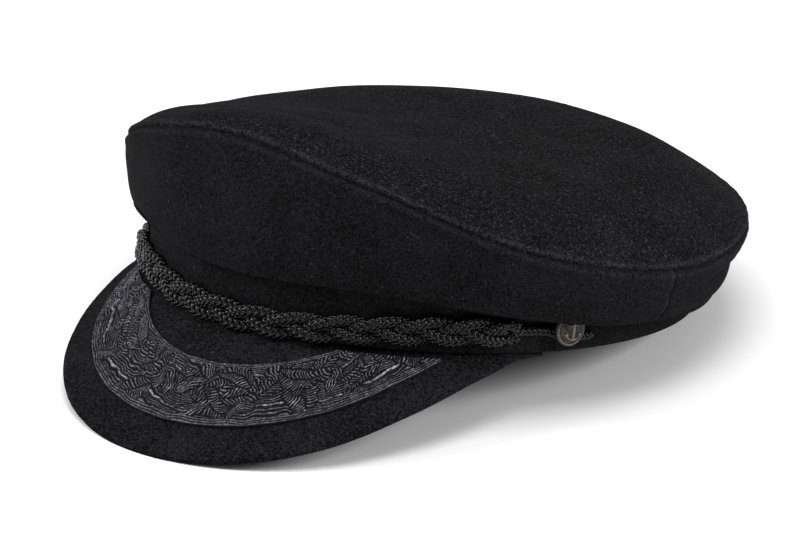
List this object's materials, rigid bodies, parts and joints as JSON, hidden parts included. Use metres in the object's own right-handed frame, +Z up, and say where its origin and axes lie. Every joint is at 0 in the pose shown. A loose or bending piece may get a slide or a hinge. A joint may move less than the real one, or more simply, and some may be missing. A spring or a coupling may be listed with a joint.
{
  "type": "breton fisherman cap",
  "caption": "Soft peaked wool cap with an overhanging crown, stiff headband, lace-trimmed peak, plaited front cord and two small side buttons, resting on a surface.",
  "frame": {"origin": "middle of the cap's footprint on the surface that it rests on", "axes": "+Z up, -Y towards the front of the peak, +X towards the wearer's left; the cap is tipped back as it rests by itself"},
  "size_m": [0.2114, 0.262, 0.0963],
  "materials": {
    "wool": "matt black melton wool with fine lint",
    "lace": "charcoal embroidered lace with a slight sheen",
    "braid": "glossy black braided cord",
    "pewter": "antique pewter, worn bright on the raised parts"
  },
  "bodies": {
    "root": {"crown_top": "wool", "crown_side_front": "wool", "crown_side_back": "wool", "headband": "wool", "peak": "wool", "peak_lace": "lace", "plait_cord_1": "braid", "plait_cord_2": "braid", "plait_cord_3": "braid", "plait_loop_left": "braid", "plait_loop_right": "braid", "end_cord_left": "braid", "end_cord_right": "braid", "button_left": "pewter", "button_right": "pewter"}
  },
  "joints": []
}
